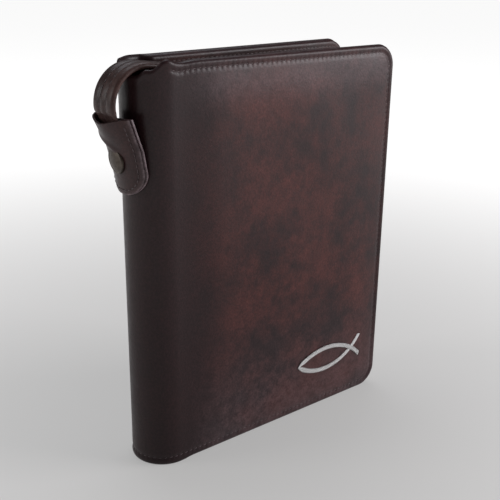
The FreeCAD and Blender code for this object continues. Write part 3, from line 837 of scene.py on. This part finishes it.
def speckled(name, dark, light, scale, rough, relief, coat=0.0):
    """Plain matter with its own fine unevenness."""
    material, tree, shader = new_material(name)
    place = own_place(tree)
    fine = noise_value(tree, place, scale, 5, 0.65)
    broad = noise_value(tree, place, scale / 18, 3)
    share = arithmetic(tree, "MULTIPLY", spread(tree, fine, 0.3, 0.7),
                       spread(tree, broad, 0.25, 0.75, 0.45, 1.0))
    tree.links.new(blend_colour(tree, share, (*dark, 1), (*light, 1)),
                   shader.inputs["Base Color"])
    tree.links.new(spread(tree, broad, 0.3, 0.7, rough - 0.05, rough + 0.05),
                   shader.inputs["Roughness"])
    shader.inputs["Coat Weight"].default_value = coat
    bump(tree, shader, fine, relief, 0.15 * MM)
    return material


lining = leather("spine_lining_leather", (0.016, 0.010, 0.012), (0.035, 0.016, 0.018), 0.3, 0.5,
                 place=own_place, relief=0.2)
flap = leather("anchor_leather", (0.018, 0.010, 0.011), (0.05, 0.018, 0.016), 0.42, 0.25,
               place=own_place, relief=0.5)
finish_nodes(lining, "spine_lining")
finish_nodes(flap, "handle_anchor")
LINING_START = 0.6 * MM
LINING_INSET = 1.1 * MM
FLAP_START = 72 * MM
FLAP_ROW = 3 * MM
SHEET = 0.6 * MM


def lining_depth(s, _):
    """Thin beside the hinge, then over the cover's foam and board."""
    return 1.25 * MM + 2.95 * MM * smooth((s - 5.5 * MM) / (3 * MM))


def flap_depth(s, gap):
    """Sewn down at its three edges, raised over the book's board, with a turned free edge."""
    over = smooth((gap - 4.6 * MM) / (4 * MM))
    row = 0.18 * MM * bump_at(s - FLAP_START - FLAP_ROW, 0.7 * MM)
    roll = 0.25 * MM * bump_at(s - FLAP_START, 1.2 * MM)
    return 4.45 * MM + 1.75 * MM * over - row - roll


def inner_sheet(side, start, depth_at):
    """Sheet inside a cover, from a straight edge to just inside the cover's free edges."""
    shape = bmesh.new()
    width, height = COVER_WIDTH - LINING_INSET - start, COVER_HEIGHT - 2 * LINING_INSET
    corner = CORNER - LINING_INSET
    bmesh.ops.create_grid(shape, x_segments=round(width / (2 * MM)),
                          y_segments=round(height / (2 * MM)), size=0.5)
    for vertex in shape.verts:
        from_fore = (0.5 - vertex.co.x) * width
        from_tail, from_head = (0.5 + vertex.co.y) * height, (0.5 - vertex.co.y) * height
        from_end = min(from_tail, from_head)
        if max(from_fore, from_end) < corner:
            a, b = round_corner(corner - from_fore, corner - from_end, corner)
            from_fore, from_end = corner - a, corner - b
        s = COVER_WIDTH - LINING_INSET - from_fore
        z = LINING_INSET + from_end
        z = z if from_tail < from_head else COVER_HEIGHT - z
        gap = edge_gap(s, z)[0]
        vertex.co = lay(s, z - head_drop(s, z, side), -depth_at(s, gap) - SHEET, side)
    bmesh.ops.recalc_face_normals(shape, faces=shape.faces)
    if shape.faces[:][0].normal.y * side > 0:
        bmesh.ops.reverse_faces(shape, faces=shape.faces)
    bmesh.ops.solidify(shape, geom=shape.faces[:], thickness=SHEET)
    return shape


lining_sheet = leather("lining_sheet", (0.020, 0.012, 0.014), (0.045, 0.022, 0.024), 0.3, 0.45,
                       relief=0.25)
flap_leather = leather("flap_leather", (0.018, 0.010, 0.011), (0.05, 0.018, 0.016), 0.42, 0.2,
                       relief=0.5)
for name, side, wrap in COVERS:
    sheet = make_piece(name + "_lining_sheet", inner_sheet(side, LINING_START, lining_depth),
                       lining_sheet, "lining_leather")
    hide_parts(name + "_cover_lining")
    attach(sheet, name + "_cover")
    sleeve = make_piece(name + "_sleeve", inner_sheet(side, FLAP_START, flap_depth),
                        flap_leather, "cover_leather")
    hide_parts(name + "_sleeve_flap")
    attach(sleeve, name + "_cover")
    rows = bmesh.new()
    z = 7 * MM
    while z < COVER_HEIGHT - 7 * MM:
        s = FLAP_START + FLAP_ROW
        depth = flap_depth(s, min(z, COVER_HEIGHT - z)) + SHEET + 0.05 * MM
        middle = lay(s, z, -depth, side)
        stitch(rows, middle, Vector((0.08, 0, 1)), lay(s, z, -depth - MM, side) - middle)
        z += STITCH_PITCH
    row = make_piece(name + "_sleeve_stitches", rows, cover_thread, "seam_thread")
    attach(row, name + "_cover")
finish_nodes(speckled("foam", (0.30, 0.27, 0.22), (0.52, 0.48, 0.40), 1500, 0.9, 0.8),
             "front_cover_padding", "back_cover_padding")
finish_nodes(speckled("grey_board", (0.17, 0.16, 0.15), (0.30, 0.29, 0.27), 900, 0.85, 0.4),
             "front_cover_board", "back_cover_board")
finish_nodes(brass, "snap_socket", "snap_stud", "snap_rivet")

# ---- The book -----------------------------------------------------------------------------
# A thin bible in black leatherette, with cream endpapers and a rounded, glued back.
# Its boards slip in to the sleeves; its leaf blocks are cut finer towards the gutter.


def paper_edges(name, place_of):
    """Cream paper whose edges show the single leaves."""
    material, tree, shader = new_material(name)
    place = place_of(tree)
    squeezed = add_node(tree, "ShaderNodeMapping", {"Vector": place, "Scale": (0.5, 3600, 0.5)})
    leaves = noise_value(tree, squeezed.outputs["Vector"], 1.0, 2)
    fibre = noise_value(tree, place, 500, 4)
    share = arithmetic(tree, "MULTIPLY", spread(tree, leaves, 0.32, 0.68),
                       spread(tree, fibre, 0.2, 0.8, 0.75, 1.0))
    tree.links.new(blend_colour(tree, share, (0.50, 0.44, 0.34, 1), (0.78, 0.73, 0.62, 1)),
                   shader.inputs["Base Color"])
    tree.links.new(spread(tree, fibre, 0.3, 0.7, 0.7, 0.85), shader.inputs["Roughness"])
    bump(tree, shader, leaves, 0.5, 0.12 * MM)
    return material


leaves = paper_edges("leaf_edges", resting_place)
endpaper = speckled("endpaper", (0.66, 0.61, 0.50), (0.80, 0.76, 0.66), 700, 0.8, 0.15)
LEAF_CORNER = 6 * MM
GUTTER_BEND = 15 * MM
for side, name in ((-1, "front"), (1, "back")):
    low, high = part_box(name + "_pages")
    shape = bmesh.new()
    bmesh.ops.create_cube(shape, size=1)
    size = high - low
    for vertex in shape.verts:
        vertex.co = (low + high) / 2 + Vector(a * b for a, b in zip(vertex.co, size))
    corners = [edge for edge in shape.edges
               if all(vertex.co.x > high.x - MM for vertex in edge.verts)
               and abs(edge.verts[0].co.y - edge.verts[1].co.y) > MM]
    bmesh.ops.bevel(shape, geom=corners, offset=LEAF_CORNER, offset_type="OFFSET", segments=7,
                    profile=0.5, affect="EDGES", material=-1)
    cuts = [low.x + GUTTER_BEND * (index + 1) / 12 for index in range(12)]
    cuts += [low.x + 30 * MM, low.x + 60 * MM, low.x + 90 * MM]
    for x in cuts:
        bmesh.ops.bisect_plane(shape, geom=shape.verts[:] + shape.edges[:] + shape.faces[:],
                               plane_co=(x, 0, 0), plane_no=(1, 0, 0))
    for index in range(1, 15):
        bmesh.ops.bisect_plane(shape, geom=shape.verts[:] + shape.edges[:] + shape.faces[:],
                               plane_co=(0, low.y + size.y * index / 15, 0), plane_no=(0, 1, 0))
    for vertex in shape.verts:
        uneven = noise.noise(Vector((0, vertex.co.y * 900, side))) * 0.22 * MM
        if vertex.co.x > high.x - MM:
            vertex.co.x -= abs(uneven) * 2
        if min(vertex.co.z - low.z, high.z - vertex.co.z) < 0.5 * MM:
            vertex.co.z -= math.copysign(abs(uneven), vertex.co.z - 0.5 * (low.z + high.z))
    bmesh.ops.recalc_face_normals(shape, faces=shape.faces)
    block = make_piece(name + "_leaves", shape, leaves, "page_paper")
    block.data.set_sharp_from_angle(angle=math.radians(35))
    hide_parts(name + "_pages")
    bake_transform(block)
    finish_nodes(endpaper, name + "_flyleaf", name + "_pastedown")

cloth = leather("book_leatherette", (0.010, 0.010, 0.011), (0.018, 0.017, 0.018), 0.48, 0.15,
                place=own_place, relief=0.8)
finish_nodes(cloth, "front_book_board", "back_book_board", "book_spine")
finish_nodes(paper_edges("glued_back", own_place), "binding_block")

mull, tree, shader = new_material("mull_gauze")
place = own_place(tree)
threads = [add_node(tree, "ShaderNodeTexWave", {"Vector": place, "Scale": 420.0},
                    bands_direction=direction).outputs["Fac"] for direction in ("Y", "Z")]
weave = arithmetic(tree, "MAXIMUM", *threads)
tree.links.new(blend_colour(tree, weave, (0.33, 0.28, 0.2, 1), (0.72, 0.68, 0.58, 1)),
               shader.inputs["Base Color"])
tree.links.new(spread(tree, weave, 0, 1, 0.9, 0.75), shader.inputs["Roughness"])
bump(tree, shader, weave, 0.6, 0.1 * MM)
finish_nodes(mull, "spine_mull")

band, tree, shader = new_material("striped_band")
stripes = add_node(tree, "ShaderNodeTexWave", {"Vector": own_place(tree), "Scale": 160.0},
                   bands_direction="Y").outputs["Fac"]
tree.links.new(blend_colour(tree, spread(tree, stripes, 0.4, 0.6), (0.16, 0.012, 0.014, 1),
                            (0.72, 0.68, 0.56, 1)), shader.inputs["Base Color"])
tree.links.new(spread(tree, stripes, 0, 1, 0.5, 0.65), shader.inputs["Roughness"])
bump(tree, shader, stripes, 0.5, 0.15 * MM)
finish_nodes(band, "head_band", "tail_band")

# ---- Floor, light and camera --------------------------------------------------------------
# A wide pale floor with a painted glow, dim near the object and brighter away from it, three soft
# area lights and a faint glow all round. What the camera sees past the floor is as pale as the
# floor's far end.
shape = bmesh.new()
bmesh.ops.create_grid(shape, x_segments=4, y_segments=4, size=60)
mesh = bpy.data.meshes.new("floor")
shape.to_mesh(mesh)
shape.free()
floor = bpy.data.objects.new("floor", mesh)
bpy.context.scene.collection.objects.link(floor)
paper, tree, shader = new_material("glowing_floor")
# Painted glow: the floor gives off its own light, dim near the object and brighter away from it.
away = add_node(tree, "ShaderNodeVectorMath", {0: own_place(tree)},
                operation="LENGTH").outputs["Value"]
glow = blend_colour(tree, spread(tree, away, 0.0, 0.85), (0.33, 0.33, 0.33, 1),
                    (0.93, 0.93, 0.93, 1))
tree.links.new(glow, shader.inputs["Emission Color"])
shader.inputs["Emission Strength"].default_value = 1.0
shader.inputs["Base Color"].default_value = (0.25, 0.245, 0.235, 1)
shader.inputs["Roughness"].default_value = 0.9
mesh.materials.append(paper)


def soft_light(name, place, target, size, power, tint=(1, 1, 1)):
    """Square area light that looks at a place."""
    data = bpy.data.lights.new(name, "AREA")
    data.shape, data.size, data.energy, data.color = "SQUARE", size, power, tint
    lamp = bpy.data.objects.new(name, data)
    lamp.location = place
    lamp.rotation_euler = (Vector(target) - Vector(place)).to_track_quat("-Z", "Y").to_euler()
    bpy.context.scene.collection.objects.link(lamp)


soft_light("key", (0.95, -0.85, 0.55), (0.02, 0, 0.12), 0.7, 14.5, (1, 0.97, 1))
soft_light("rim", (-0.9, 0.5, 0.5), (-0.05, 0, 0.12), 0.4, 3)
soft_light("top", (0.3, 0.5, 1.5), (0, 0, 0.1), 1.2, 12, (0.93, 0.94, 1))

world = bpy.data.worlds.new("studio")
world.use_nodes = True
tree = world.node_tree
seen = add_node(tree, "ShaderNodeLightPath").outputs["Is Camera Ray"]
tree.links.new(spread(tree, seen, 0, 1, 0.07, 0.97), tree.nodes["Background"].inputs["Strength"])
tree.nodes["Background"].inputs["Color"].default_value = (1, 1, 1, 1)
bpy.context.scene.world = world
bpy.context.scene.view_settings.view_transform = "Standard"

CAMERA_PLACE = (-0.2746, -0.3188, 0.2497)
YAW, PITCH, ROLL = (math.radians(angle) for angle in (40.91, 19.65, 0.69))
forward = Vector((math.cos(PITCH) * math.sin(YAW), math.cos(PITCH) * math.cos(YAW),
                  -math.sin(PITCH)))
right = forward.cross(Vector((0, 0, 1))).normalized()
up = right.cross(forward)
right, up = (math.cos(ROLL) * right + math.sin(ROLL) * up,
             math.cos(ROLL) * up - math.sin(ROLL) * right)
data = bpy.data.cameras.new("camera")
data.lens, data.sensor_width = 59.72, 36
data.clip_start = 0.01
camera = bpy.data.objects.new("camera", data)
camera.matrix_world = Matrix.Translation(CAMERA_PLACE) @ Matrix(
    (right, up, -forward)).transposed().to_4x4()
bpy.context.scene.collection.objects.link(camera)
bpy.context.scene.camera = camera
